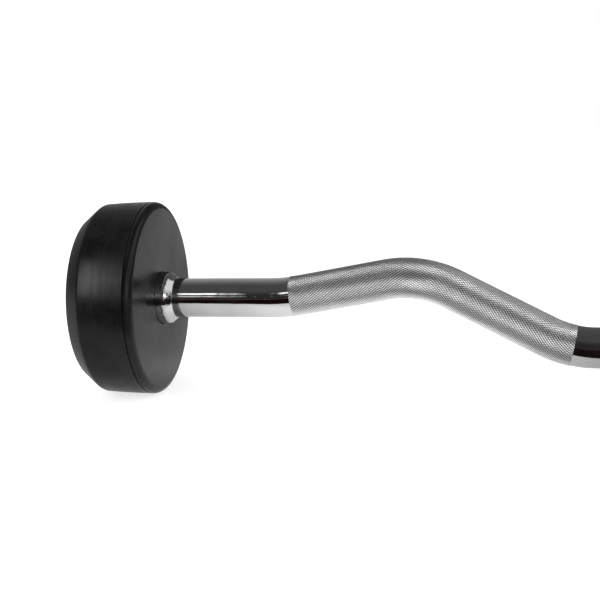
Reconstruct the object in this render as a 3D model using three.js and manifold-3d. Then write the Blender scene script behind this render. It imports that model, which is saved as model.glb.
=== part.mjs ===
// Fixed curl barbell: a chromed, cranked steel bar with a rubber-covered steel head keyed and bolted to each end.
// Millimetres, +Z up, the bar along X. The origin is on the ground under the middle of the bar.
import * as THREE from "three";
import { mergeVertices } from "three/addons/utils/BufferGeometryUtils.js";
import Module from "manifold-3d";

// Gap between mated pieces, and how far a cutter runs past what it cuts
const CLEARANCE = 0.3;
const OVERRUN = 1;

// Bar and its bends, from the middle outwards
const BAR_RADIUS = 15;
const CENTRE_HALF_LENGTH = 65;
const INNER_BEND_RADIUS = 80;
const INNER_RAMP_DEGREES = 27;
const INNER_RAMP_LENGTH = 76.5;
const PEAK_BEND_RADIUS = 78;
const OUTER_RAMP_DEGREES = 10.1;
const OUTER_RAMP_LENGTH = 64.5;
const OUTER_BEND_RADIUS = 160;
const SLEEVE_LENGTH = 73.1;

// Turned-down end of the bar, inside the head
const SPIGOT_SHOULDER = 2;
const SPIGOT_END_RELIEF = 0.8;

// Collar ring between the bare sleeve and the head
const COLLAR_WALL = 4.85;
const COLLAR_LAND = 7.2;
const COLLAR_CHAMFER = 4.9;
const COLLAR_LIP = 0.7;

// Rubber head: inner cover and casing
const HEAD_RADIUS = 75;
const HEAD_DEPTH = 54.8;
const COVER_THICKNESS = 6.2;
const COVER_RIM_RADIUS = 5;
const SEAM_BREAK = 0.5;
const CASING_CHAMFER_DEPTH = 12.6;
const CASING_CHAMFER_HEIGHT = 11.7;
const CASING_EDGE_RADIUS = 2;
const CASING_WALL = 6;
const CASING_END_WALL = 8;

// Steel core plates inside the casing
const CORE_CHAMFER = 8;
const CORE_WEB = 6;

// Parallel key between spigot and core
const KEY_WIDTH = 8;
const KEY_HEIGHT = 7;
const KEY_SEAT_DEPTH = 4;
const KEY_END_MARGIN = 2;

// Bolt, washers and end cap
const BOLT_RADIUS = 6;
const BOLT_LENGTH = 40;
const BOLT_HEAD_RADIUS = 9;
const BOLT_HEAD_HEIGHT = 12;
const BOLT_HEAD_EDGE = 1;
const BOLT_SOCKET_WIDTH = 10;
const BOLT_SOCKET_DEPTH = 6;
const DRILL_RUNOUT = 4;
const SPRING_WASHER_WIDTH = 4.2;
const SPRING_WASHER_THICKNESS = 2.5;
const SPRING_WASHER_SPLIT_DEGREES = 12;
const RETAINING_WASHER_RADIUS = 22;
const RETAINING_WASHER_THICKNESS = 3;
const CAP_THICKNESS = 3;
const CAP_LEDGE = 3;
const CAP_EDGE = 0.6;

// Facets: sides of round pieces and the turn of one step along a bend or a rounded edge
const HEAD_SIDES = 60;
const BAR_SIDES = 36;
const FASTENER_SIDES = 24;
const HEXAGON_SIDES = 6;
const BEND_STEP_DEGREES = 5;
const EDGE_STEP_DEGREES = 23;

// Radii that follow from the sizes above
const SPIGOT_RADIUS = BAR_RADIUS - SPIGOT_SHOULDER;
const COLLAR_BORE = BAR_RADIUS + CLEARANCE;
const COLLAR_RADIUS = COLLAR_BORE + COLLAR_WALL;
const COVER_BORE = COLLAR_RADIUS + CLEARANCE;
const CAVITY_RADIUS = HEAD_RADIUS - CASING_WALL;
const CORE_RADIUS = CAVITY_RADIUS - CLEARANCE;
const CORE_BORE = SPIGOT_RADIUS + CLEARANCE;
const COUNTERBORE_RADIUS = RETAINING_WASHER_RADIUS + CLEARANCE;
const CAP_RADIUS = COUNTERBORE_RADIUS + CAP_LEDGE;
const BOLT_HOLE = BOLT_RADIUS + CLEARANCE;

// Places along the head's axis, counted outwards from its inner face
const CASING_START = COVER_THICKNESS + CLEARANCE;
const CASING_CREASE = HEAD_DEPTH - CASING_CHAMFER_DEPTH;
const CAVITY_END = HEAD_DEPTH - CASING_END_WALL;
const CORE_END = CAVITY_END - CLEARANCE;
const CAP_START = HEAD_DEPTH - CAP_THICKNESS;
const LEDGE = CAP_START - CLEARANCE;
const BOLT_HEAD_END = LEDGE - CLEARANCE;
const BOLT_HEAD_START = BOLT_HEAD_END - BOLT_HEAD_HEIGHT;
const SPRING_WASHER_END = BOLT_HEAD_START - CLEARANCE;
const RETAINING_WASHER_END = SPRING_WASHER_END - SPRING_WASHER_THICKNESS - CLEARANCE;
const COUNTERBORE_FLOOR = RETAINING_WASHER_END - RETAINING_WASHER_THICKNESS - CLEARANCE;
const OUTER_PLATE_START = COUNTERBORE_FLOOR - CORE_WEB;
const INNER_PLATE_END = OUTER_PLATE_START - CLEARANCE;
const SPIGOT_END = COUNTERBORE_FLOOR - SPIGOT_END_RELIEF;
const BOLT_TIP = BOLT_HEAD_START - BOLT_LENGTH;
const KEY_START = COVER_THICKNESS + KEY_END_MARGIN;
const KEY_END = SPIGOT_END - KEY_END_MARGIN;
const KEY_BOTTOM = SPIGOT_RADIUS - KEY_SEAT_DEPTH;

// The head stands on one of its flats, which fixes the height of its axis
const AXIS_HEIGHT = HEAD_RADIUS * Math.cos(Math.PI / HEAD_SIDES);

const CHROME = { color: 0xc9cacc, roughness: 0.12, metalness: 1 };
const RUBBER = { color: 0x1b1b1c, roughness: 0.55, metalness: 0 };
const STEEL = { color: 0x8d8f92, roughness: 0.45, metalness: 1 };
const BLACK_STEEL = { color: 0x2a2b2d, roughness: 0.4, metalness: 1 };
const PLASTIC = { color: 0x202021, roughness: 0.5, metalness: 0 };

const wasm = await Module();
wasm.setup();

// A closed geometry as a solid that can be joined and cut
function solidOf(geometry) {
  const bare = geometry.clone();
  bare.deleteAttribute("normal");
  bare.deleteAttribute("uv");
  const merged = mergeVertices(bare);
  const triVerts = new Uint32Array(merged.index.array);
  const vertProperties = merged.attributes.position.array;
  return new wasm.Manifold(new wasm.Mesh({ numProp: 3, vertProperties, triVerts }));
}

// A joined or cut solid as a geometry again
function geometryOf(solid) {
  const mesh = solid.getMesh();
  const geometry = new THREE.BufferGeometry();
  geometry.setAttribute("position", new THREE.BufferAttribute(mesh.vertProperties, 3));
  geometry.setIndex(new THREE.BufferAttribute(mesh.triVerts, 1));
  geometry.computeVertexNormals();
  return geometry;
}

function cut(geometry, ...cutters) {
  return geometryOf(cutters.reduce((solid, cutter) => solid.subtract(solidOf(cutter)), solidOf(geometry)));
}

// Corners [place along the axis, radius, rounding] as an outline whose roundings are true arcs
function outline(corners) {
  const points = [];
  corners.forEach(([along, radius, rounding = 0], i) => {
    const corner = new THREE.Vector2(radius, along);
    const before = corners[(i + corners.length - 1) % corners.length];
    const after = corners[(i + 1) % corners.length];
    const back = new THREE.Vector2(before[1], before[0]).sub(corner).normalize();
    const ahead = new THREE.Vector2(after[1], after[0]).sub(corner).normalize();
    if (rounding === 0) {
      points.push(corner);
      return;
    }
    const opening = Math.acos(THREE.MathUtils.clamp(back.dot(ahead), -1, 1));
    const turn = Math.PI - opening;
    const steps = Math.ceil(THREE.MathUtils.radToDeg(turn) / EDGE_STEP_DEGREES);
    const inward = back.clone().add(ahead).normalize();
    const centre = corner.clone().addScaledVector(inward, rounding / Math.sin(opening / 2));
    const start = corner.clone().addScaledVector(back, rounding / Math.tan(opening / 2)).sub(centre);
    const way = Math.sign(back.cross(ahead)) || 1;
    for (let step = 0; step <= steps; step++) {
      const spoke = start.clone().rotateAround(new THREE.Vector2(), (way * -turn * step) / steps);
      points.push(centre.clone().add(spoke));
    }
  });
  return points;
}

// A ring or disc turned round the X axis, with flats facing straight up and down
function revolve(points, sides) {
  const lathe = new THREE.LatheGeometry(points, sides, Math.PI / sides);
  return lathe.rotateZ(-Math.PI / 2);
}

// A ring: its outline closes on itself
function ring(corners, sides) {
  const points = outline(corners);
  return revolve([...points, points[0]], sides);
}

// A disc or shaft: its corners start and end on the axis
function disc(corners, sides) {
  return revolve(outline(corners), sides);
}

// Stations of the bar's centre line for the right half, from the middle to the shoulder inside the head
function halfStations() {
  const rise = THREE.MathUtils.degToRad(INNER_RAMP_DEGREES);
  const fall = THREE.MathUtils.degToRad(OUTER_RAMP_DEGREES);
  const stepAngle = THREE.MathUtils.degToRad(BEND_STEP_DEGREES);
  const sleeveRun = SLEEVE_LENGTH + COLLAR_CHAMFER + COLLAR_LAND + COVER_THICKNESS;
  const moves = [
    { run: CENTRE_HALF_LENGTH, bend: rise, radius: INNER_BEND_RADIUS },
    { run: INNER_RAMP_LENGTH, bend: -(rise + fall), radius: PEAK_BEND_RADIUS },
    { run: OUTER_RAMP_LENGTH, bend: fall, radius: OUTER_BEND_RADIUS },
    { run: sleeveRun, bend: 0, radius: 0 },
  ];
  const stations = [];
  let point = new THREE.Vector3();
  let heading = 0;
  const direction = (angle) => new THREE.Vector3(Math.cos(angle), 0, Math.sin(angle));
  for (const { run, bend, radius } of moves) {
    point = point.clone().addScaledVector(direction(heading), run);
    stations.push({ point, tangent: direction(heading) });
    const steps = Math.ceil(Math.abs(bend) / stepAngle);
    for (let step = 0; step < steps; step++) {
      const chordAngle = heading + bend / steps / 2;
      const chord = 2 * radius * Math.sin(Math.abs(bend) / steps / 2);
      point = point.clone().addScaledVector(direction(chordAngle), chord);
      heading += bend / steps;
      stations.push({ point, tangent: direction(heading) });
    }
  }
  stations.at(-1).tangent = direction(0);
  return stations;
}

// The whole centre line. Sections stand only at its stations, so a straight run costs none.
class BarLine extends THREE.Curve {
  constructor() {
    super();
    const right = halfStations();
    this.shoulder = right.at(-1).point;
    const left = right.map(({ point, tangent }) => ({
      point: new THREE.Vector3(-point.x, 0, point.z),
      tangent: new THREE.Vector3(tangent.x, 0, -tangent.z),
    }));
    this.stations = [...left.reverse(), ...right];
  }
  stationAt(share) {
    return this.stations[Math.round(share * (this.stations.length - 1))];
  }
  getPointAt(share) {
    const { point } = this.stationAt(share);
    return new THREE.Vector3(point.x, 0, point.z - this.shoulder.z);
  }
  getTangentAt(share) {
    return this.stationAt(share).tangent.clone();
  }
}

const barLine = new BarLine();
const HEAD_FACE = barLine.shoulder.x - COVER_THICKNESS;

// A round section with flats facing along both of the bar's frame axes
function barSection() {
  const section = new THREE.Shape();
  for (let side = 0; side < BAR_SIDES; side++) {
    const angle = ((side + 1 / 2) * 2 * Math.PI) / BAR_SIDES;
    const place = [BAR_RADIUS * Math.cos(angle), BAR_RADIUS * Math.sin(angle)];
    if (side === 0) section.moveTo(...place);
    else section.lineTo(...place);
  }
  section.closePath();
  return section;
}

// A bar of the key's plan, round at both ends, standing on Z at its bottom
function keyBlock(grow, bottom, top) {
  const half = KEY_WIDTH / 2 + grow;
  const start = KEY_START + KEY_WIDTH / 2;
  const end = KEY_END - KEY_WIDTH / 2;
  const plan = new THREE.Shape();
  plan.absarc(start, 0, half, Math.PI / 2, (3 * Math.PI) / 2);
  plan.absarc(end, 0, half, -Math.PI / 2, Math.PI / 2);
  plan.closePath();
  const block = new THREE.ExtrudeGeometry(plan, { depth: top - bottom, bevelEnabled: false, curveSegments: 8 });
  return block.translate(0, 0, bottom);
}

// Moves a head's geometry from its own axis to the right or left end of the bar
function atEnd(geometry, side) {
  geometry.translate(HEAD_FACE, 0, 0);
  return side === "left" ? geometry.rotateZ(Math.PI) : geometry;
}

function barGeometry() {
  const steps = barLine.stations.length - 1;
  const swept = new THREE.ExtrudeGeometry(barSection(), { steps, extrudePath: barLine, bevelEnabled: false });
  let bar = solidOf(swept);
  for (const side of ["right", "left"]) {
    const spigot = disc(
      [
        [0, 0],
        [0, SPIGOT_RADIUS],
        [SPIGOT_END, SPIGOT_RADIUS],
        [SPIGOT_END, 0],
      ],
      BAR_SIDES,
    );
    const drillStart = BOLT_TIP - DRILL_RUNOUT;
    const drill = disc(
      [
        [drillStart, 0],
        [drillStart, BOLT_HOLE],
        [SPIGOT_END + OVERRUN, BOLT_HOLE],
        [SPIGOT_END + OVERRUN, 0],
      ],
      FASTENER_SIDES,
    );
    const keyway = keyBlock(CLEARANCE, KEY_BOTTOM - CLEARANCE, SPIGOT_RADIUS + OVERRUN);
    bar = bar.add(solidOf(atEnd(spigot, side)));
    bar = bar.subtract(solidOf(atEnd(drill, side)));
    bar = bar.subtract(solidOf(atEnd(keyway, side)));
  }
  return geometryOf(bar);
}

function collarGeometry() {
  const start = -COLLAR_LAND - COLLAR_CHAMFER;
  return ring(
    [
      [start, COLLAR_BORE],
      [start, COLLAR_BORE + COLLAR_LIP],
      [-COLLAR_LAND, COLLAR_RADIUS],
      [COVER_THICKNESS, COLLAR_RADIUS],
      [COVER_THICKNESS, COLLAR_BORE],
    ],
    BAR_SIDES,
  );
}

function innerCoverGeometry() {
  return ring(
    [
      [0, COVER_BORE],
      [0, HEAD_RADIUS, COVER_RIM_RADIUS],
      [COVER_THICKNESS - SEAM_BREAK, HEAD_RADIUS],
      [COVER_THICKNESS, HEAD_RADIUS - SEAM_BREAK],
      [COVER_THICKNESS, COVER_BORE],
    ],
    HEAD_SIDES,
  );
}

function headCasingGeometry() {
  return ring(
    [
      [CASING_START, HEAD_RADIUS - SEAM_BREAK],
      [CASING_START + SEAM_BREAK, HEAD_RADIUS],
      [CASING_CREASE, HEAD_RADIUS, CASING_EDGE_RADIUS],
      [HEAD_DEPTH, HEAD_RADIUS - CASING_CHAMFER_HEIGHT, CASING_EDGE_RADIUS],
      [HEAD_DEPTH, CAP_RADIUS + CLEARANCE],
      [LEDGE, CAP_RADIUS + CLEARANCE],
      [LEDGE, COUNTERBORE_RADIUS],
      [CAVITY_END, COUNTERBORE_RADIUS],
      [CAVITY_END, CAVITY_RADIUS - CORE_CHAMFER],
      [CAVITY_END - CORE_CHAMFER, CAVITY_RADIUS],
      [CASING_START, CAVITY_RADIUS],
    ],
    HEAD_SIDES,
  );
}

// The slot that a broach leaves in the bore of a core plate, for the key
function keySlot(start, end) {
  const length = end - start + 2 * OVERRUN;
  const height = KEY_BOTTOM + KEY_HEIGHT + CLEARANCE;
  const slot = new THREE.BoxGeometry(length, KEY_WIDTH + 2 * CLEARANCE, height);
  return slot.translate((start + end) / 2, 0, height / 2);
}

function innerPlateGeometry() {
  const plate = ring(
    [
      [CASING_START, CORE_BORE],
      [CASING_START, CORE_RADIUS],
      [INNER_PLATE_END, CORE_RADIUS],
      [INNER_PLATE_END, CORE_BORE],
    ],
    BAR_SIDES,
  );
  return cut(plate, keySlot(CASING_START, INNER_PLATE_END));
}

function outerPlateGeometry() {
  const plate = ring(
    [
      [OUTER_PLATE_START, CORE_BORE],
      [OUTER_PLATE_START, CORE_RADIUS],
      [CORE_END - CORE_CHAMFER, CORE_RADIUS],
      [CORE_END, CORE_RADIUS - CORE_CHAMFER],
      [CORE_END, COUNTERBORE_RADIUS],
      [COUNTERBORE_FLOOR, COUNTERBORE_RADIUS],
      [COUNTERBORE_FLOOR, CORE_BORE],
    ],
    BAR_SIDES,
  );
  return cut(plate, keySlot(OUTER_PLATE_START, COUNTERBORE_FLOOR));
}

function keyGeometry() {
  return keyBlock(0, KEY_BOTTOM, KEY_BOTTOM + KEY_HEIGHT);
}

function retainingWasherGeometry() {
  const start = RETAINING_WASHER_END - RETAINING_WASHER_THICKNESS;
  return ring(
    [
      [start, BOLT_HOLE],
      [start, RETAINING_WASHER_RADIUS],
      [RETAINING_WASHER_END, RETAINING_WASHER_RADIUS],
      [RETAINING_WASHER_END, BOLT_HOLE],
    ],
    BAR_SIDES,
  );
}

// A split ring, flat as it lies under the tightened bolt
function springWasherGeometry() {
  const split = THREE.MathUtils.degToRad(SPRING_WASHER_SPLIT_DEGREES);
  const plan = new THREE.Shape();
  plan.absarc(0, 0, BOLT_HOLE + SPRING_WASHER_WIDTH, split, 2 * Math.PI, false);
  plan.absarc(0, 0, BOLT_HOLE, 2 * Math.PI, split, true);
  plan.closePath();
  const washer = new THREE.ExtrudeGeometry(plan, {
    depth: SPRING_WASHER_THICKNESS,
    bevelEnabled: false,
    curveSegments: FASTENER_SIDES,
  });
  return washer.rotateY(Math.PI / 2).translate(SPRING_WASHER_END - SPRING_WASHER_THICKNESS, 0, 0);
}

function endBoltGeometry() {
  const bolt = disc(
    [
      [BOLT_TIP, 0],
      [BOLT_TIP, BOLT_RADIUS],
      [BOLT_HEAD_START, BOLT_RADIUS],
      [BOLT_HEAD_START, BOLT_HEAD_RADIUS],
      [BOLT_HEAD_END - BOLT_HEAD_EDGE, BOLT_HEAD_RADIUS],
      [BOLT_HEAD_END, BOLT_HEAD_RADIUS - BOLT_HEAD_EDGE],
      [BOLT_HEAD_END, 0],
    ],
    FASTENER_SIDES,
  );
  const socketRadius = BOLT_SOCKET_WIDTH / Math.sqrt(3);
  const socketLength = BOLT_SOCKET_DEPTH + OVERRUN;
  const socket = new THREE.CylinderGeometry(socketRadius, socketRadius, socketLength, HEXAGON_SIDES);
  socket.rotateZ(-Math.PI / 2).translate(BOLT_HEAD_END + OVERRUN - socketLength / 2, 0, 0);
  return cut(bolt, socket);
}

function endCapGeometry() {
  return disc(
    [
      [CAP_START, 0],
      [CAP_START, CAP_RADIUS],
      [HEAD_DEPTH - CAP_EDGE, CAP_RADIUS],
      [HEAD_DEPTH, CAP_RADIUS - CAP_EDGE],
      [HEAD_DEPTH, 0],
    ],
    BAR_SIDES,
  );
}

function piece(name, geometry, finish) {
  const mesh = new THREE.Mesh(geometry, new THREE.MeshStandardMaterial(finish));
  mesh.name = name;
  return mesh;
}

// One head with all that holds it, built outwards from its inner face
function head(side) {
  const group = new THREE.Group();
  group.add(
    piece(`collar_${side}`, collarGeometry(), CHROME),
    piece(`inner_cover_${side}`, innerCoverGeometry(), RUBBER),
    piece(`head_casing_${side}`, headCasingGeometry(), RUBBER),
    piece(`core_plate_inner_${side}`, innerPlateGeometry(), STEEL),
    piece(`core_plate_outer_${side}`, outerPlateGeometry(), STEEL),
    piece(`key_${side}`, keyGeometry(), STEEL),
    piece(`retaining_washer_${side}`, retainingWasherGeometry(), STEEL),
    piece(`spring_washer_${side}`, springWasherGeometry(), BLACK_STEEL),
    piece(`end_bolt_${side}`, endBoltGeometry(), BLACK_STEEL),
    piece(`end_cap_${side}`, endCapGeometry(), PLASTIC),
  );
  return group;
}

const rightHead = head("right");
rightHead.position.set(HEAD_FACE, 0, 0);
const leftHead = head("left");
leftHead.position.set(-HEAD_FACE, 0, 0);
leftHead.rotation.z = Math.PI;

const barbell = new THREE.Group();
barbell.add(piece("bar", barGeometry(), CHROME), rightHead, leftHead);
barbell.position.z = AXIS_HEIGHT;

export default barbell;
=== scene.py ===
"""Fixed curl barbell: its looks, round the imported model. Metres, bar along X, +Z up, resting on its heads."""
import math

import bmesh
import bpy
import numpy as np
from mathutils import Matrix, Vector


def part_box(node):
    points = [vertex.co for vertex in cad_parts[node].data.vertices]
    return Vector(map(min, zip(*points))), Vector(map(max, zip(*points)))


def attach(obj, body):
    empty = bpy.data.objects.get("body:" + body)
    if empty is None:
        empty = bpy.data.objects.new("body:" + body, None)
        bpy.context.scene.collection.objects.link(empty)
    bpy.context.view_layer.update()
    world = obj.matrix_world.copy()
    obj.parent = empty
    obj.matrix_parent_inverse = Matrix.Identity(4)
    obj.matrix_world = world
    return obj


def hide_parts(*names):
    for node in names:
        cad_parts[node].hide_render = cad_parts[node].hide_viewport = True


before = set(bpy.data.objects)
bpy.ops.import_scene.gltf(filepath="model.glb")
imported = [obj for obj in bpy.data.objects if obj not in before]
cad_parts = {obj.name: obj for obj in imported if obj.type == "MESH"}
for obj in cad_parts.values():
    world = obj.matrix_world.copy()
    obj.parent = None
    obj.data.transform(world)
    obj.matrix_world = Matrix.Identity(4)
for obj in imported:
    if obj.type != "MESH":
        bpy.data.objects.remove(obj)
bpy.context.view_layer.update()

MM = 0.001
MICRON = 0.001 * MM

# Bar and its bends, from the middle outwards. The polished lengths stand a little proud of the solid bar.
BAR_RADIUS = 15 * MM
POLISHED_RADIUS = 15.15 * MM
CENTRE_HALF_LENGTH = 65 * MM
INNER_BEND_RADIUS = 80 * MM
INNER_RAMP_ANGLE = math.radians(27)
INNER_RAMP_LENGTH = 76.5 * MM
PEAK_BEND_RADIUS = 78 * MM
OUTER_RAMP_ANGLE = math.radians(10.1)
OUTER_RAMP_LENGTH = 64.5 * MM
OUTER_BEND_RADIUS = 160 * MM

# Any length along the bar, in metres, that lies past all of its bends
PAST_ALL_BENDS = 1

# The bar's hidden ends
SPIGOT_RADIUS = 13 * MM
DRILL_RADIUS = 6.3 * MM
DRILL_DEPTH = 39 * MM
KEY_GAP = 0.3 * MM

# Knurl: raised diamonds on the ramps, measured along the bar from its middle
KNURL_START = 81.5 * MM
KNURL_END = 303.4 * MM
KNURL_AROUND = 52
KNURL_HELIX_ANGLE = math.radians(33)
KNURL_GROOVE_RADIUS = 15.07 * MM
KNURL_CREST_RADIUS = 15.53 * MM
KNURL_FLAT_SHARE = 0.12
KNURL_INNER_RADIUS = 14.8 * MM
KNURL_INNER_ROW_STEP = 4

# The shallower hand of grooves rises to this share of the crests between two crossings, and the hands swap
# within this length of bar, at its peak
KNURL_SADDLE = 0.4
KNURL_CHANGEOVER = 30 * MM

# Rubber cover and casing of the head, from its flat inner face outwards
COVER_RIM_RADIUS = 5.6 * MM
COVER_TAPER = 0.55 * MM
COVER_BORE_GAP = 0.3 * MM
COVER_BORE_EDGE = 0.6 * MM
SEAM_GROOVE = 0.2 * MM
SEAM_BREAK = 0.25 * MM
SEAM_DEPTH = 2 * MM
CASING_SEAM_INSET = 0.05 * MM
CASING_CREASE_INSET = 1.3 * MM
CASING_CROWN = 0.3 * MM
CASING_CREASE_RADIUS = 4 * MM
CASING_CHAMFER_DEPTH = 12.6 * MM
CASING_CHAMFER_HEIGHT = 11.7 * MM
CASING_EDGE_RADIUS = 2 * MM
CASING_WALL = 6 * MM
CASING_END_WALL = 8 * MM
CORE_CHAMFER = 8 * MM
COUNTERBORE_RADIUS = 22.3 * MM

# Cap and collar
CAP_RECESS_RADIUS = 25.6 * MM
CAP_GAP = 0.3 * MM
CAP_EDGE = 0.6 * MM
CAP_RIM = 2.6 * MM
CAP_DISH = 0.7 * MM
COLLAR_RADIUS = 20.15 * MM
COLLAR_BORE_GAP = 0.05 * MM
COLLAR_CHAMFER = 4.9 * MM
COLLAR_LIP = 0.7 * MM
COLLAR_EDGE = 0.35 * MM
COLLAR_SHOULDER_RADIUS = 5 * MM

# Fineness of the round shapes
HEAD_SIDES = 180
BAR_SIDES = 96
BEND_STEP = math.radians(1.5)
EDGE_STEP = math.radians(9)
KEY_END_STEPS = 9
CASING_CROWN_STEPS = 10
SHARP_ANGLE = math.radians(30)
JOIN_DISTANCE = 0.1 * MICRON

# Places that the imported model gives
cover_low, cover_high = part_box("inner_cover_right")
casing_low, casing_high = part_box("head_casing_right")
collar_low, collar_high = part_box("collar_right")
cap_low, cap_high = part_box("end_cap_right")
bar_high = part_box("bar")[1]
AXIS_HEIGHT = (casing_low.z + casing_high.z) / 2
HEAD_RADIUS = AXIS_HEIGHT
HEAD_FACE = cover_low.x
SHOULDER = cover_high.x
HEAD_END = casing_high.x
CAP_RADIUS = (cap_high.z - cap_low.z) / 2


def bar_moves():
    """Straight run, signed bend and bend radius of each stretch, from the middle outwards."""
    rise, fall = INNER_RAMP_ANGLE, OUTER_RAMP_ANGLE
    return [
        (CENTRE_HALF_LENGTH, rise, INNER_BEND_RADIUS),
        (INNER_RAMP_LENGTH, -(rise + fall), PEAK_BEND_RADIUS),
        (OUTER_RAMP_LENGTH, fall, OUTER_BEND_RADIUS),
    ]


def bar_marks():
    """Arc lengths at which a stretch or a bend step of the right half starts."""
    marks, along = [], 0
    for run, bend, radius in bar_moves():
        along += run
        steps = math.ceil(abs(bend) / BEND_STEP)
        marks += [along + abs(bend) * radius * i / steps for i in range(steps + 1)]
        along += abs(bend) * radius
    return marks


def bar_at(along):
    """Point (x, z) and heading of the centre line at an arc length from the middle. The left half mirrors the
    right, and z is measured from the middle."""
    side = math.copysign(1, along)
    left = abs(along)
    x = z = heading = 0.0
    for run, bend, radius in [*bar_moves(), (math.inf, 0, 1)]:
        straight = min(left, run)
        x += straight * math.cos(heading)
        z += straight * math.sin(heading)
        left -= straight
        turn = math.copysign(min(left / radius, abs(bend)), bend)
        chord = 2 * radius * math.sin(abs(turn) / 2)
        x += chord * math.cos(heading + turn / 2)
        z += chord * math.sin(heading + turn / 2)
        heading += turn
        left -= abs(turn) * radius
        if left <= 0:
            break
    return side * x, z, side * heading


SLEEVE_X, SLEEVE_RISE = bar_at(PAST_ALL_BENDS)[:2]


def arc_at_x(x):
    """Arc length at which the straight sleeve reaches a place along X."""
    return PAST_ALL_BENDS + x - SLEEVE_X


def ring_points(along, radius, angles):
    """Points round the bar at one arc length."""
    x, z, heading = bar_at(along)
    centre = np.array([x, 0, z - SLEEVE_RISE + AXIS_HEIGHT])
    up = np.array([-math.sin(heading), 0, math.cos(heading)])
    front = np.array([0, -1, 0])
    return centre + np.outer(radius * np.cos(angles), up) + np.outer(radius * np.sin(angles), front)


def new_piece(name, vertices, faces, material, replaced, smooth=True):
    """A piece of the fixed body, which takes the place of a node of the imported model."""
    mesh = bpy.data.meshes.new(name)
    mesh.from_pydata([tuple(v) for v in vertices], [], [tuple(f) for f in faces])
    mesh.validate()
    piece = bpy.data.objects.new(name, mesh)
    bpy.context.scene.collection.objects.link(piece)
    mesh.materials.append(material)
    if smooth:
        mesh.shade_smooth()
        mesh.set_sharp_from_angle(angle=SHARP_ANGLE)
    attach(piece, "root")
    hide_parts(replaced)
    return piece


def make_normals_outward(piece, join=0):
    """Turn all faces outward, and join points that lie closer than a given distance."""
    shell = bmesh.new()
    shell.from_mesh(piece.data)
    if join:
        bmesh.ops.remove_doubles(shell, verts=shell.verts, dist=join)
    bmesh.ops.recalc_face_normals(shell, faces=shell.faces)
    shell.to_mesh(piece.data)
    shell.free()


def tube_faces(rings, sides):
    """Quads between successive rings, and a polygon on each end."""
    faces = []
    for ring in range(rings - 1):
        for k in range(sides):
            a, b = ring * sides + k, ring * sides + (k + 1) % sides
            faces.append((a, a + sides, b + sides, b))
    faces.append(tuple(range(sides)))
    faces.append(tuple((rings - 1) * sides + k for k in reversed(range(sides))))
    return faces


def bar_shaft(material):
    """The smooth solid bar with its turned-down, drilled ends."""
    shoulder = arc_at_x(SHOULDER)
    spigot_end = arc_at_x(bar_high.x)
    half = [
        (KNURL_START, POLISHED_RADIUS),
        (KNURL_START, BAR_RADIUS),
        (KNURL_END, BAR_RADIUS),
        (KNURL_END, POLISHED_RADIUS),
    ]
    for along in bar_marks():
        half.append((along, BAR_RADIUS if KNURL_START < along < KNURL_END else POLISHED_RADIUS))
    half.sort(key=lambda mark: mark[0])
    half += [
        (shoulder, POLISHED_RADIUS),
        (shoulder, SPIGOT_RADIUS),
        (spigot_end, SPIGOT_RADIUS),
        (spigot_end, DRILL_RADIUS),
        (spigot_end - DRILL_DEPTH, DRILL_RADIUS),
    ]
    rings = [(-along, radius) for along, radius in reversed(half)] + half
    angles = np.linspace(0, 2 * math.pi, BAR_SIDES, endpoint=False)
    vertices = np.vstack([ring_points(along, radius, angles) for along, radius in rings])
    shaft = new_piece("bar_shaft", vertices, tube_faces(len(rings), BAR_SIDES), material, "bar")
    for word in ("left", "right"):
        cut_keyway(shaft, word)
    shaft.data.set_sharp_from_angle(angle=SHARP_ANGLE)


def cut_keyway(shaft, word):
    """Sink the round-ended slot of a key into the bar's end."""
    low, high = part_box(f"key_{word}")
    half_width = high.y + KEY_GAP
    ends = (high.x - high.y, low.x + high.y)
    turns = np.linspace(-math.pi / 2, math.pi / 2, KEY_END_STEPS)
    plan = [
        (end + way * half_width * math.cos(turn), way * half_width * math.sin(turn))
        for end, way in zip(ends, (1, -1))
        for turn in turns
    ]
    count = len(plan)
    vertices = [(x, y, low.z - KEY_GAP) for x, y in plan] + [(x, y, high.z) for x, y in plan]
    faces = [tuple(reversed(range(count))), tuple(range(count, 2 * count))]
    faces += [(i, (i + 1) % count, (i + 1) % count + count, i + count) for i in range(count)]
    mesh = bpy.data.meshes.new("keyway")
    mesh.from_pydata(vertices, [], faces)
    cutter = bpy.data.objects.new("keyway", mesh)
    bpy.context.scene.collection.objects.link(cutter)
    cut = shaft.modifiers.new("keyway", "BOOLEAN")
    cut.operation = "DIFFERENCE"
    cut.solver = "EXACT"
    cut.object = cutter
    shaped = shaft.evaluated_get(bpy.context.evaluated_depsgraph_get())
    old = shaft.data
    name = old.name
    shaft.data = bpy.data.meshes.new_from_object(shaped)
    shaft.modifiers.clear()
    bpy.data.meshes.remove(old)
    shaft.data.name = name
    bpy.data.objects.remove(cutter)
    bpy.data.meshes.remove(mesh)


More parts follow.
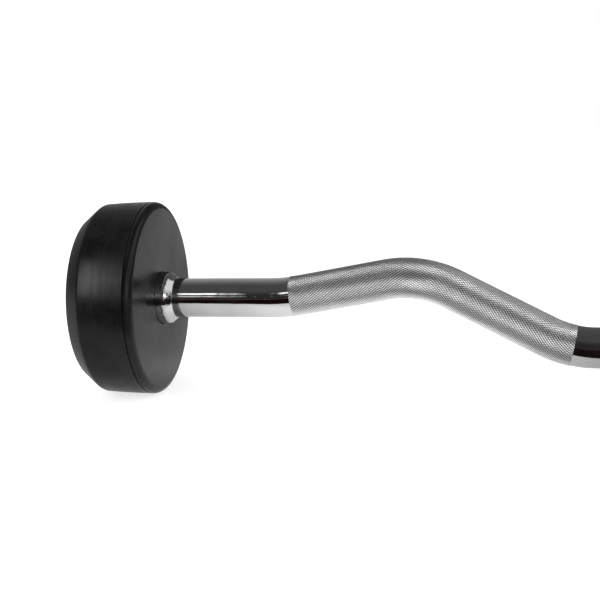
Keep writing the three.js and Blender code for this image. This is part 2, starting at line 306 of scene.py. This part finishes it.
def knurl_band(side, word, material):
    """One band of raised diamonds, flat-topped, cut by two crossing sets of helical grooves and closed on the
    inside. One hand of grooves is cut deeper than the other, and they swap at the peak of the bar."""
    pitch_around = 2 * math.pi * KNURL_CREST_RADIUS / KNURL_AROUND
    pitch_along = pitch_around / math.tan(KNURL_HELIX_ANGLE)
    rows = 2 * round((KNURL_END - KNURL_START) / pitch_along)
    row_step = (KNURL_END - KNURL_START) / rows
    column_step = math.pi / KNURL_AROUND
    peak = CENTRE_HALF_LENGTH + INNER_RAMP_ANGLE * INNER_BEND_RADIUS + INNER_RAMP_LENGTH
    peak += (INNER_RAMP_ANGLE + OUTER_RAMP_ANGLE) * PEAK_BEND_RADIUS / 2
    vertices, heights, faces, shared = [], [], [], {}

    def add(column, row, height):
        """A new point, with its height from 0 in the grooves to 1 on the flats."""
        along = side * (KNURL_START + row * row_step)
        radius = KNURL_GROOVE_RADIUS + height * (KNURL_CREST_RADIUS - KNURL_GROOVE_RADIUS)
        vertices.append(ring_points(along, radius, np.array([column * column_step]))[0])
        heights.append(height)
        return len(vertices) - 1

    def in_groove(column, row, height=0.0):
        """The point in the grooves at this place, shared by the diamonds round it."""
        key = (column % (2 * KNURL_AROUND), row)
        if key not in shared:
            shared[key] = add(column, row, height)
        return shared[key]

    def saddle_height(column_a, row_a, column_b, row_b):
        """How far the groove between two crossings stands above them."""
        past_peak = (KNURL_START + (row_a + row_b) / 2 * row_step - peak) / KNURL_CHANGEOVER
        outer = min(max(past_peak + 0.5, 0), 1)
        return KNURL_SADDLE * (outer if (row_a - row_b) * (column_a - column_b) * side > 0 else 1 - outer)

    for row in range(rows + 1):
        for k in range(KNURL_AROUND):
            column = 2 * k + 1 - row % 2
            around = [(column - 1, row), (column, row - 1), (column + 1, row), (column, row + 1)]
            corners = [(c, r) for c, r in around if 0 <= r <= rows]
            base = [in_groove(c, r) for c, r in corners]
            top = [
                add(column + (c - column) * KNURL_FLAT_SHARE, row + (r - row) * KNURL_FLAT_SHARE, 1.0)
                for c, r in corners
            ]
            faces.append(tuple(top))
            for i, (c, r) in enumerate(corners):
                j = (i + 1) % len(corners)
                next_c, next_r = corners[j]
                height = saddle_height(c, r, next_c, next_r)
                if next_r == r or not height:
                    faces.append((base[i], base[j], top[j], top[i]))
                    continue
                saddle = in_groove((c + next_c) / 2, (r + next_r) / 2, height)
                faces += [(base[i], saddle, top[i]), (saddle, base[j], top[j]), (saddle, top[j], top[i])]

    inner_rows = list(range(0, rows, KNURL_INNER_ROW_STEP)) + [rows]
    first_inner = len(vertices)
    angles = np.arange(KNURL_AROUND) * 2 * column_step
    for row in inner_rows:
        vertices.extend(ring_points(side * (KNURL_START + row * row_step), KNURL_INNER_RADIUS, angles))
        heights += [0.0] * KNURL_AROUND

    def inner_pair(i, k):
        """A point of an inner ring and the next one round it."""
        ring = first_inner + i * KNURL_AROUND
        return ring + k, ring + (k + 1) % KNURL_AROUND

    for i in range(len(inner_rows) - 1):
        for k in range(KNURL_AROUND):
            a, b = inner_pair(i, k)
            faces.append((a, a + KNURL_AROUND, b + KNURL_AROUND, b))
    for i, row, way in ((0, 0, 1), (len(inner_rows) - 1, rows, -1)):
        for k in range(KNURL_AROUND):
            quad = (*inner_pair(i, k), in_groove(2 * k + 2, row), in_groove(2 * k, row))
            faces.append(quad[::way])
    piece = new_piece(f"bar_knurl_{word}", vertices, faces, material, "bar", smooth=False)
    piece.data.attributes.new("crest", "FLOAT", "POINT").data.foreach_set("value", heights)
    make_normals_outward(piece)


def outline(corners):
    """Corners (place along X, radius, rounding) as points, with each rounding as an arc."""
    points = []
    for i, corner in enumerate(corners):
        rounding = corner[2] if len(corner) > 2 else 0
        here = Vector(corner[:2])
        if not rounding:
            points.append(here)
            continue
        back = (Vector(corners[i - 1][:2]) - here).normalized()
        ahead = (Vector(corners[(i + 1) % len(corners)][:2]) - here).normalized()
        opening = back.angle(ahead)
        turn = math.pi - opening
        steps = math.ceil(turn / EDGE_STEP)
        centre = here + (back + ahead).normalized() * rounding / math.sin(opening / 2)
        spoke = here + back * rounding / math.tan(opening / 2) - centre
        way = -1 if back.x * ahead.y - back.y * ahead.x > 0 else 1
        for step in range(steps + 1):
            points.append(centre + Matrix.Rotation(way * turn * step / steps, 2) @ spoke)
    return points


def revolved(name, side, corners, sides, material, replaced):
    """A ring whose outline closes on itself, turned round the head's axis, on the right or left end."""
    points = outline(corners)
    count = len(points)
    vertices, faces = [], []
    for k in range(sides):
        angle = 2 * math.pi * (k + 0.5) / sides
        across, up = math.sin(angle), math.cos(angle)
        vertices += [(side * p.x, side * p.y * across, AXIS_HEIGHT + p.y * up) for p in points]
        after = (k + 1) % sides
        for i in range(count):
            j = (i + 1) % count
            faces.append((k * count + i, k * count + j, after * count + j, after * count + i))
    piece = new_piece(name, vertices, faces, material, replaced)
    make_normals_outward(piece, join=JOIN_DISTANCE)


def rubber_cover(side, word, material):
    """The inner half of the rubber, with a rounded rim."""
    bore = COLLAR_RADIUS + COVER_BORE_GAP
    seam = cover_high.x - SEAM_GROOVE
    corners = [
        (HEAD_FACE, bore, COVER_BORE_EDGE),
        (HEAD_FACE, HEAD_RADIUS - COVER_TAPER, COVER_RIM_RADIUS),
        (seam - SEAM_BREAK, HEAD_RADIUS),
        (seam, HEAD_RADIUS - SEAM_BREAK),
        (seam, HEAD_RADIUS - SEAM_DEPTH),
        (cover_high.x, HEAD_RADIUS - SEAM_DEPTH),
        (cover_high.x, bore),
    ]
    name = f"rubber_cover_{word}"
    revolved(name, side, corners, HEAD_SIDES, material, f"inner_cover_{word}")


def rubber_casing(side, word, material):
    """The outer half of the rubber: a slightly tapered and crowned barrel, chamfered, hollow for the core."""
    crease = HEAD_END - CASING_CHAMFER_DEPTH
    cavity = HEAD_RADIUS - CASING_WALL
    cavity_end = HEAD_END - CASING_END_WALL
    cap_seat = cap_low.x - CAP_GAP
    seam = casing_low.x + SEAM_GROOVE
    seam_radius = HEAD_RADIUS - CASING_SEAM_INSET
    barrel = []
    for step in range(CASING_CROWN_STEPS):
        share = step / CASING_CROWN_STEPS
        along = seam + SEAM_BREAK + share * (crease - seam - SEAM_BREAK)
        taper = share * (CASING_CREASE_INSET - CASING_SEAM_INSET)
        barrel.append((along, seam_radius - taper + 4 * share * (1 - share) * CASING_CROWN))
    corners = [
        (casing_low.x, HEAD_RADIUS - SEAM_DEPTH),
        (seam, HEAD_RADIUS - SEAM_DEPTH),
        (seam, seam_radius - SEAM_BREAK),
        *barrel,
        (crease, HEAD_RADIUS - CASING_CREASE_INSET, CASING_CREASE_RADIUS),
        (HEAD_END, HEAD_RADIUS - CASING_CHAMFER_HEIGHT, CASING_EDGE_RADIUS),
        (HEAD_END, CAP_RECESS_RADIUS),
        (cap_seat, CAP_RECESS_RADIUS),
        (cap_seat, COUNTERBORE_RADIUS),
        (cavity_end, COUNTERBORE_RADIUS),
        (cavity_end, cavity - CORE_CHAMFER),
        (cavity_end - CORE_CHAMFER, cavity),
        (casing_low.x, cavity),
    ]
    name = f"rubber_casing_{word}"
    revolved(name, side, corners, HEAD_SIDES, material, f"head_casing_{word}")


def collar(side, word, material):
    """The chamfered collar with its rounded shoulder."""
    bore = POLISHED_RADIUS + COLLAR_BORE_GAP
    corners = [
        (collar_low.x, bore, COLLAR_EDGE / 2),
        (collar_low.x, BAR_RADIUS + COLLAR_LIP, COLLAR_EDGE),
        (collar_low.x + COLLAR_CHAMFER, COLLAR_RADIUS, COLLAR_SHOULDER_RADIUS),
        (collar_high.x, COLLAR_RADIUS),
        (collar_high.x, bore),
    ]
    revolved(f"chrome_collar_{word}", side, corners, BAR_SIDES, material, f"collar_{word}")


def cap(side, word, material):
    """The plain cap, a shallow dish inside a raised rim."""
    corners = [
        (cap_low.x, 0),
        (cap_low.x, CAP_RADIUS),
        (cap_high.x, CAP_RADIUS, CAP_EDGE),
        (cap_high.x, CAP_RADIUS - CAP_RIM),
        (cap_high.x - CAP_DISH, CAP_RADIUS - CAP_RIM - CAP_DISH),
        (cap_high.x - CAP_DISH, 0),
    ]
    revolved(f"plain_cap_{word}", side, corners, BAR_SIDES, material, f"end_cap_{word}")


class Graph:
    """Short names for the nodes of one node tree."""

    def __init__(self, tree):
        self.tree = tree

    def node(self, kind, **settings):
        node = self.tree.nodes.new(kind)
        for key, value in settings.items():
            setattr(node, key, value)
        return node

    def feed(self, socket, value):
        """Link another node's output to an input, or set the input's own value."""
        if isinstance(value, bpy.types.NodeSocket):
            self.tree.links.new(value, socket)
        else:
            socket.default_value = value

    def feed_all(self, node, values):
        """Feed several inputs of a node, by name."""
        for name, value in values.items():
            self.feed(node.inputs[name], value)

    def maths(self, operation, *values):
        node = self.node("ShaderNodeMath", operation=operation)
        for socket, value in zip(node.inputs, values):
            self.feed(socket, value)
        return node.outputs[0]

    def combined(self, operation, values):
        """One operation run through a whole list, as in a sum."""
        result = values[0]
        for value in values[1:]:
            result = self.maths(operation, result, value)
        return result

    def ramp(self, value, low, high, start=0.0, end=1.0):
        """Smooth step of a value from start at low to end at high."""
        node = self.node("ShaderNodeMapRange", interpolation_type="SMOOTHSTEP")
        self.feed_all(node, {"Value": value, "From Min": low, "From Max": high})
        self.feed_all(node, {"To Min": start, "To Max": end})
        return node.outputs[0]

    def window(self, value, low, high, soft):
        """One between low and high, with edges this soft."""
        rise = self.ramp(value, low - soft, low + soft)
        fall = self.ramp(value, high - soft, high + soft, 1.0, 0.0)
        return self.maths("MULTIPLY", rise, fall)

    def split(self, vector):
        """The x, y and z of a vector."""
        node = self.node("ShaderNodeSeparateXYZ")
        self.feed(node.inputs[0], vector)
        return node.outputs

    def place(self, scale=(1, 1, 1)):
        """Where a point lies on the object, in metres, multiplied by a scale along each axis."""
        node = self.node("ShaderNodeMapping")
        self.feed_all(node, {"Vector": self.node("ShaderNodeTexCoord").outputs["Object"], "Scale": scale})
        return node.outputs[0]

    def noise(self, place, scale, detail, roughness):
        """Cloudy pattern, with this many lumps to a unit of its place."""
        node = self.node("ShaderNodeTexNoise")
        self.feed_all(node, {"Vector": place, "Scale": scale, "Detail": detail, "Roughness": roughness})
        return node.outputs["Fac"]

    def blend(self, share, first, second):
        """Colour between two others."""
        node = self.node("ShaderNodeMix", data_type="RGBA")
        self.feed(node.inputs[0], share)
        for socket, value in ((node.inputs[6], first), (node.inputs[7], second)):
            self.feed(socket, (*value, 1) if isinstance(value, tuple) else value)
        return node.outputs[2]

    def bump(self, *layers):
        """Normal from height layers, each a pattern and its height in metres."""
        normal = None
        for pattern, height in layers:
            node = self.node("ShaderNodeBump")
            self.feed_all(node, {"Height": pattern, "Distance": height})
            if normal:
                self.feed(node.inputs["Normal"], normal)
            normal = node.outputs[0]
        return normal


def new_material(name):
    """A material, its node graph and its shader."""
    material = bpy.data.materials.new(name)
    material.use_nodes = True
    return material, Graph(material.node_tree), material.node_tree.nodes["Principled BSDF"]


# Finishes: pairs of linear colours or of roughness, from the first look of a mottled surface to the second
CHROME_COLOURS = ((0.598, 0.59, 0.594), (0.53, 0.523, 0.525))
CHROME_ROUGHNESS = (0.022, 0.1)
# Knurl colours: a painted highlight on the crests, brighter than the chrome, and painted shade in the grooves
CREST_HIGHLIGHT_COLOURS = ((0.99, 0.99, 0.995), (0.88, 0.885, 0.89))
GROOVE_SHADE_COLOURS = ((0.08, 0.08, 0.082), (0.16, 0.158, 0.156))
KNURL_ROUGHNESS = (0.28, 0.36)
RUBBER_COLOURS = ((0.0035, 0.0034, 0.0036), (0.0095, 0.0094, 0.0098))
RUBBER_ROUGHNESS = (0.2, 0.36)
RUBBER_SPECULAR = 0.22
PLASTIC_COLOURS = ((0.008, 0.008, 0.0084), (0.015, 0.015, 0.0155))
PLASTIC_ROUGHNESS = (0.38, 0.56)
PLASTIC_SPECULAR = 0.35
STEEL_COLOURS = ((0.4, 0.4, 0.41), (0.52, 0.515, 0.51))
STEEL_ROUGHNESS = (0.28, 0.48)
BLACKENED_COLOURS = ((0.07, 0.07, 0.075), (0.13, 0.125, 0.12))
BLACKENED_ROUGHNESS = (0.3, 0.5)

# Fine relief of the finishes
SHAFT_RIPPLE_SIZE = 13 * MM
SHAFT_RIPPLE_HEIGHT = 110 * MICRON
COLLAR_RIPPLE_SIZE = 3.6 * MM
COLLAR_RIPPLE_HEIGHT = 330 * MICRON
POLISHING_LINE_HEIGHT = 0.3 * MICRON
KNURL_GRAIN_HEIGHT = 4 * MICRON
RUBBER_WAVE_HEIGHT = 110 * MICRON
RUBBER_STREAK_HEIGHT = 5 * MICRON
RUBBER_GRAIN_HEIGHT = 7 * MICRON
PLASTIC_GRAIN_HEIGHT = 16 * MICRON
TURNING_PITCH = 0.6 * MM
TURNING_HEIGHT = 3 * MICRON


def polished_chrome(name, ripple_size, ripple_height):
    """Mirror chrome with faint smudges, slow ripples and very fine polishing lines round the bar."""
    material, g, shader = new_material(name)
    smudge = g.noise(g.place(), scale=26, detail=5, roughness=0.62)
    film = g.noise(g.place((60, 9, 9)), scale=1, detail=4, roughness=0.7)
    lines = g.noise(g.place((2200, 30, 30)), scale=1, detail=3, roughness=0.6)
    ripples = g.noise(g.place(), scale=1 / ripple_size, detail=2, roughness=0.5)
    g.feed_all(shader, {
        "Base Color": g.blend(g.ramp(smudge, 0.35, 0.66), *CHROME_COLOURS),
        "Roughness": g.ramp(g.maths("ADD", smudge, film), 0.8, 1.25, *CHROME_ROUGHNESS),
        "Normal": g.bump((ripples, ripple_height), (lines, POLISHING_LINE_HEIGHT)),
        "Metallic": 1,
    })
    return material


def knurled_chrome():
    """Satin chrome: a painted highlight on the crests and painted shade in the grooves, both mottled."""
    material, g, shader = new_material("knurled_chrome")
    crest = g.node("ShaderNodeAttribute", attribute_name="crest").outputs["Fac"]
    patches = g.noise(g.place(), scale=55, detail=4, roughness=0.6)
    grain = g.noise(g.place(), scale=900, detail=2, roughness=0.5)
    # Painted highlight on the crests and painted shade in the grooves, blended by each point's height
    bright = g.blend(g.ramp(patches, 0.3, 0.7), *CREST_HIGHLIGHT_COLOURS)
    dark = g.blend(g.ramp(grain, 0.3, 0.7), *GROOVE_SHADE_COLOURS)
    g.feed_all(shader, {
        "Base Color": g.blend(g.ramp(crest, 0.1, 0.75), dark, bright),
        "Roughness": g.ramp(g.maths("ADD", patches, grain), 0.75, 1.25, *KNURL_ROUGHNESS),
        "Normal": g.bump((grain, KNURL_GRAIN_HEIGHT)),
        "Metallic": 1,
    })
    return material


def moulded_rubber():
    """Satin black rubber: mottled, with faint rubbed streaks round the head and a fine moulded grain."""
    material, g, shader = new_material("moulded_black_rubber")
    mottle = g.noise(g.place(), scale=34, detail=6, roughness=0.62)
    streaks = g.noise(g.place((170, 14, 14)), scale=1, detail=2, roughness=0.6)
    grain = g.noise(g.place(), scale=1700, detail=3, roughness=0.6)
    waves = g.noise(g.place(), scale=42, detail=2, roughness=0.5)
    cloudy = g.maths("ADD", mottle, g.maths("MULTIPLY", grain, 0.35))
    rubbed = g.maths("ADD", g.maths("MULTIPLY", mottle, 0.5), g.maths("MULTIPLY", streaks, 0.9))
    relief = [(waves, RUBBER_WAVE_HEIGHT), (streaks, RUBBER_STREAK_HEIGHT), (grain, RUBBER_GRAIN_HEIGHT)]
    g.feed_all(shader, {
        "Base Color": g.blend(g.ramp(cloudy, 0.5, 0.86), *RUBBER_COLOURS),
        "Roughness": g.ramp(rubbed, 0.45, 0.95, *RUBBER_ROUGHNESS),
        "Normal": g.bump(*relief),
        "Specular IOR Level": RUBBER_SPECULAR,
    })
    return material


def grained_plastic():
    """Black moulded plastic with a fine spark-eroded grain."""
    material, g, shader = new_material("grained_black_plastic")
    grain = g.noise(g.place(), scale=2400, detail=3, roughness=0.65)
    clouds = g.noise(g.place(), scale=90, detail=4, roughness=0.6)
    g.feed_all(shader, {
        "Base Color": g.blend(g.ramp(clouds, 0.3, 0.7), *PLASTIC_COLOURS),
        "Roughness": g.ramp(g.maths("ADD", grain, clouds), 0.7, 1.3, *PLASTIC_ROUGHNESS),
        "Normal": g.bump((grain, PLASTIC_GRAIN_HEIGHT)),
        "Specular IOR Level": PLASTIC_SPECULAR,
    })
    return material


def turned_steel(name, colours, roughness):
    """Machined steel with turning marks round the head's axis and a mottled oxide tint."""
    material, g, shader = new_material(name)
    x, y, z = g.split(g.place())
    height = g.maths("SUBTRACT", z, AXIS_HEIGHT)
    squares = g.maths("ADD", g.maths("POWER", height, 2.0), g.maths("POWER", y, 2.0))
    out_and_along = g.maths("ADD", g.maths("SQRT", squares), x)
    wobble = g.noise(g.place(), scale=60, detail=4, roughness=0.6)
    turns = g.maths("MULTIPLY", out_and_along, 2 * math.pi / TURNING_PITCH)
    marks = g.maths("SINE", g.maths("ADD", turns, g.maths("MULTIPLY", wobble, 3.0)))
    worn = g.maths("ADD", g.maths("MULTIPLY", marks, 0.2), wobble)
    g.feed_all(shader, {
        "Base Color": g.blend(g.ramp(wobble, 0.3, 0.7), *colours),
        "Roughness": g.ramp(worn, 0.2, 0.9, *roughness),
        "Normal": g.bump((marks, TURNING_HEIGHT)),
        "Metallic": 1,
    })
    return material


def dress():
    """Make all the pieces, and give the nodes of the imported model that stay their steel."""
    shaft_chrome = polished_chrome("polished_chrome", SHAFT_RIPPLE_SIZE, SHAFT_RIPPLE_HEIGHT)
    collar_chrome = polished_chrome("turned_chrome", COLLAR_RIPPLE_SIZE, COLLAR_RIPPLE_HEIGHT)
    knurl_chrome = knurled_chrome()
    rubber = moulded_rubber()
    plastic = grained_plastic()
    steel = turned_steel("machined_steel", STEEL_COLOURS, STEEL_ROUGHNESS)
    dark_steel = turned_steel("blackened_steel", BLACKENED_COLOURS, BLACKENED_ROUGHNESS)
    sides = ((-1, "left"), (1, "right"))
    bar_shaft(shaft_chrome)
    for side, word in sides:
        knurl_band(side, word, knurl_chrome)
    for side, word in sides:
        rubber_cover(side, word, rubber)
        rubber_casing(side, word, rubber)
        collar(side, word, collar_chrome)
        cap(side, word, plastic)
    for name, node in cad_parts.items():
        if node.hide_render:
            continue
        finish = dark_steel if name.startswith(("spring", "end_bolt", "retaining")) else steel
        node.data.materials.clear()
        node.data.materials.append(finish)


# Camera: its turn, in radians, and the bar's middle as it sees it, from a fit to the photograph's outlines.
# The shift then moves that middle along the bar.
CAMERA_LENS_PIXELS = 1200
PICTURE_PIXELS = 600
SENSOR_WIDTH = 36
CAMERA_YAW = -0.2070464
CAMERA_TILT = 0.1415724
CAMERA_ROLL = -0.0012532
BAR_MIDDLE_IN_VIEW = Vector((274.5927, 1.43, -860.0436)) * MM
MIDDLE_SHIFT = 5 * MM
CLIP_START = 10 * MM


def add_camera():
    """The camera, placed from the fit, which has Y up and Z towards the camera."""
    turn = (
        Matrix.Rotation(CAMERA_YAW, 3, "Y")
        @ Matrix.Rotation(CAMERA_TILT, 3, "X")
        @ Matrix.Rotation(CAMERA_ROLL, 3, "Z")
    )
    place = BAR_MIDDLE_IN_VIEW + turn @ Vector((MIDDLE_SHIFT, 0, 0))
    to_frame = Matrix(((1, 0, 0), (0, 0, -1), (0, 1, 0)))
    eye = to_frame @ (turn.transposed() @ -place) + Vector((0, 0, AXIS_HEIGHT))
    axes = to_frame @ turn.transposed()
    data = bpy.data.cameras.new("camera")
    data.sensor_width = SENSOR_WIDTH
    data.lens = CAMERA_LENS_PIXELS / PICTURE_PIXELS * SENSOR_WIDTH
    data.clip_start = CLIP_START
    camera = bpy.data.objects.new("camera", data)
    bpy.context.scene.collection.objects.link(camera)
    camera.matrix_world = Matrix.Translation(eye) @ axes.to_4x4()
    bpy.context.scene.camera = camera


# Floor, a light table
FLOOR_REACH = 30
FLOOR_WHITE = (0.86, 0.86, 0.86, 1)
FLOOR_GLOW = 0.72
GLOW_WHITE = (1, 1, 1, 1)

# Dark room in front of the table, as a sheet just over the floor. Its edge runs along the bar, straight at
# the middle and then slanting away from the bar.
SCREEN_LIFT = 1 * MM
SCREEN_REACH = 25
SCREEN_NEAR_COLOUR = (0.012, 0.006, 0.005)
SCREEN_FAR_COLOUR = (0.1, 0.06, 0.055)
SCREEN_FAR_FADE = (-0.5, -1.6)
SCREEN_EDGE_AT_MIDDLE = -0.036
SCREEN_EDGE_SLOPE = 0.326
SCREEN_EDGE_STRAIGHT = 0.05
SCREEN_EDGE_SOFTNESS = 0.06

# Veils that dim the table's reflection, each a smooth step: its place from and to, its strength there. The
# first's places are shares of the way from the dark room's edge to the bar, and the others are in metres. The
# near, middle and head veils are painted shadow of the bar and heads on the table, seen only in reflections,
# and the back veil darkens the table behind the bar.
SCREEN_NEAR_SHADOW = (0.7, 0.0, 0.0, 0.3)
SCREEN_MIDDLE_SHADOW = (0.0, 0.22, 0.57, 0.0)
SCREEN_BACK_VEIL = (0.0, 0.2, 0.0, 0.52)
SCREEN_HEAD_SHADOW = (0.28, 0.46, 0.0, 0.5)


def flat_stage(name, reach, height, material):
    """A square sheet of the studio, level with the floor."""
    mesh = bpy.data.meshes.new(name)
    corners = [(-reach, -reach), (reach, -reach), (reach, reach), (-reach, reach)]
    mesh.from_pydata([(x, y, height) for x, y in corners], [], [(0, 1, 2, 3)])
    mesh.materials.append(material)
    sheet = bpy.data.objects.new(name, mesh)
    bpy.context.scene.collection.objects.link(sheet)
    return sheet


def add_floor():
    """A white table that glows a little, as a light table does."""
    material, g, shader = new_material("floor_white")
    g.feed_all(shader, {
        "Base Color": FLOOR_WHITE,
        "Roughness": 1,
        "Specular IOR Level": 0,
        "Emission Color": GLOW_WHITE,
        "Emission Strength": FLOOR_GLOW,
    })
    flat_stage("floor", FLOOR_REACH, 0, material)


def add_screen():
    """The dark room, seen only in reflections, and its veils over the table, most of them painted shadow."""
    material, g, shader = new_material("screen_dark")
    x, y = g.split(g.node("ShaderNodeNewGeometry").outputs["Position"])[:2]
    aside = g.maths("ABSOLUTE", x)
    past_straight = g.maths("MAXIMUM", g.maths("SUBTRACT", aside, SCREEN_EDGE_STRAIGHT), 0.0)
    slant = g.maths("MULTIPLY", past_straight, SCREEN_EDGE_SLOPE)
    edge = g.maths("SUBTRACT", SCREEN_EDGE_AT_MIDDLE, slant)
    short_of_edge = g.maths("DIVIDE", g.maths("SUBTRACT", edge, y), edge)
    # Past the dark room's edge, these veils paint the shadow of the bar and heads on the table, seen in
    # reflections only
    layers = [
        g.ramp(short_of_edge, SCREEN_EDGE_SOFTNESS, -SCREEN_EDGE_SOFTNESS),
        g.ramp(short_of_edge, *SCREEN_NEAR_SHADOW),
        g.ramp(aside, *SCREEN_MIDDLE_SHADOW),
        g.ramp(y, *SCREEN_BACK_VEIL),
        g.ramp(aside, *SCREEN_HEAD_SHADOW),
    ]
    g.feed_all(shader, {
        "Base Color": g.blend(g.ramp(y, *SCREEN_FAR_FADE), SCREEN_NEAR_COLOUR, SCREEN_FAR_COLOUR),
        "Roughness": 1,
        "Specular IOR Level": 0,
        "Alpha": g.combined("MAXIMUM", layers),
    })
    screen = flat_stage("dark_screen", SCREEN_REACH, SCREEN_LIFT, material)
    screen.visible_camera = False
    screen.visible_diffuse = False
    screen.visible_shadow = False
    screen.visible_transmission = False


# Light by direction. The wrap angle runs over the bar, in degrees: 0 straight in front, 90 overhead and 180
# behind. The aside value is the direction's own X, from -1 at the far left to 1 at the far right.
SOFTBOXES = [
    # wrap from, to, softness, aside from, to, softness, strength
    (23.4, 33.2, 1, -0.45, -0.268, 0.013, 1.9),
    (10.9, 16.1, 1.2, -0.45, -0.268, 0.025, 1.0),
    (10, 50, 10, -0.6, -0.4, 0.02, 5.2),
    (0, 24, 5, -1.2, -0.62, 0.08, 0.52),
    (8, 26, 4, 0.3, 0.85, 0.1, 2.0),
    (14, 52, 24, 0.3, 0.85, 0.1, 0.7),
    (50, 140, 8, 0.56, 0.96, 0.03, 1.0),
    (45, 140, 12, -0.205, -0.07, 0.015, 0.7),
]
FRONT_ROOM = 0.035
CEILING = 0.09
BACK_WALL = 0.6
CEILING_WRAP = (20, 50)
BACK_WALL_WRAP = (75, 185)

# The back wall dims towards the middle, and again at the left: aside from and to, its share of light there
BACK_WALL_MIDDLE = (-0.24, 0.0, 1.0, 0.1)
BACK_WALL_LEFT = (-0.37, -0.31, 0.45, 1.0)

# Sun that lights the table
SUN_SPREAD = math.radians(70)
SUN_STRENGTH = 0.9
SUN_TURN = (math.radians(15), math.radians(-20), 0)


def add_world():
    """The studio's soft light, and plain white where the camera sees past the floor."""
    world = bpy.data.worlds.new("studio")
    bpy.context.scene.world = world
    world.use_nodes = True
    g = Graph(world.node_tree)
    x, y, z = g.split(g.node("ShaderNodeTexCoord").outputs["Generated"])
    over_top = g.maths("DEGREES", g.maths("ARCTAN2", z, g.maths("MULTIPLY", y, -1.0)))
    back_wall = g.ramp(over_top, *BACK_WALL_WRAP, 0.0, BACK_WALL - CEILING)
    back_across = g.maths("MULTIPLY", g.ramp(x, *BACK_WALL_MIDDLE), g.ramp(x, *BACK_WALL_LEFT))
    lights = [
        g.ramp(over_top, *CEILING_WRAP, FRONT_ROOM, CEILING),
        g.maths("MULTIPLY", back_wall, back_across),
    ]
    for low, high, soft, left, right, side_soft, strength in SOFTBOXES:
        window = g.maths("MULTIPLY", g.window(over_top, low, high, soft), g.window(x, left, right, side_soft))
        lights.append(g.maths("MULTIPLY", window, strength))
    seen_directly = g.node("ShaderNodeLightPath").outputs["Is Camera Ray"]
    background = world.node_tree.nodes["Background"]
    g.feed(background.inputs["Color"], g.maths("MAXIMUM", g.combined("ADD", lights), seen_directly))


def add_sun():
    """Broad soft light from above for the table, not seen in the chrome."""
    data = bpy.data.lights.new("top_light", "SUN")
    data.angle = SUN_SPREAD
    data.energy = SUN_STRENGTH
    light = bpy.data.objects.new("top_light", data)
    bpy.context.scene.collection.objects.link(light)
    light.rotation_euler = SUN_TURN
    light.visible_glossy = False


dress()
add_camera()
add_floor()
add_screen()
add_world()
add_sun()
bpy.context.scene.view_settings.view_transform = "Standard"
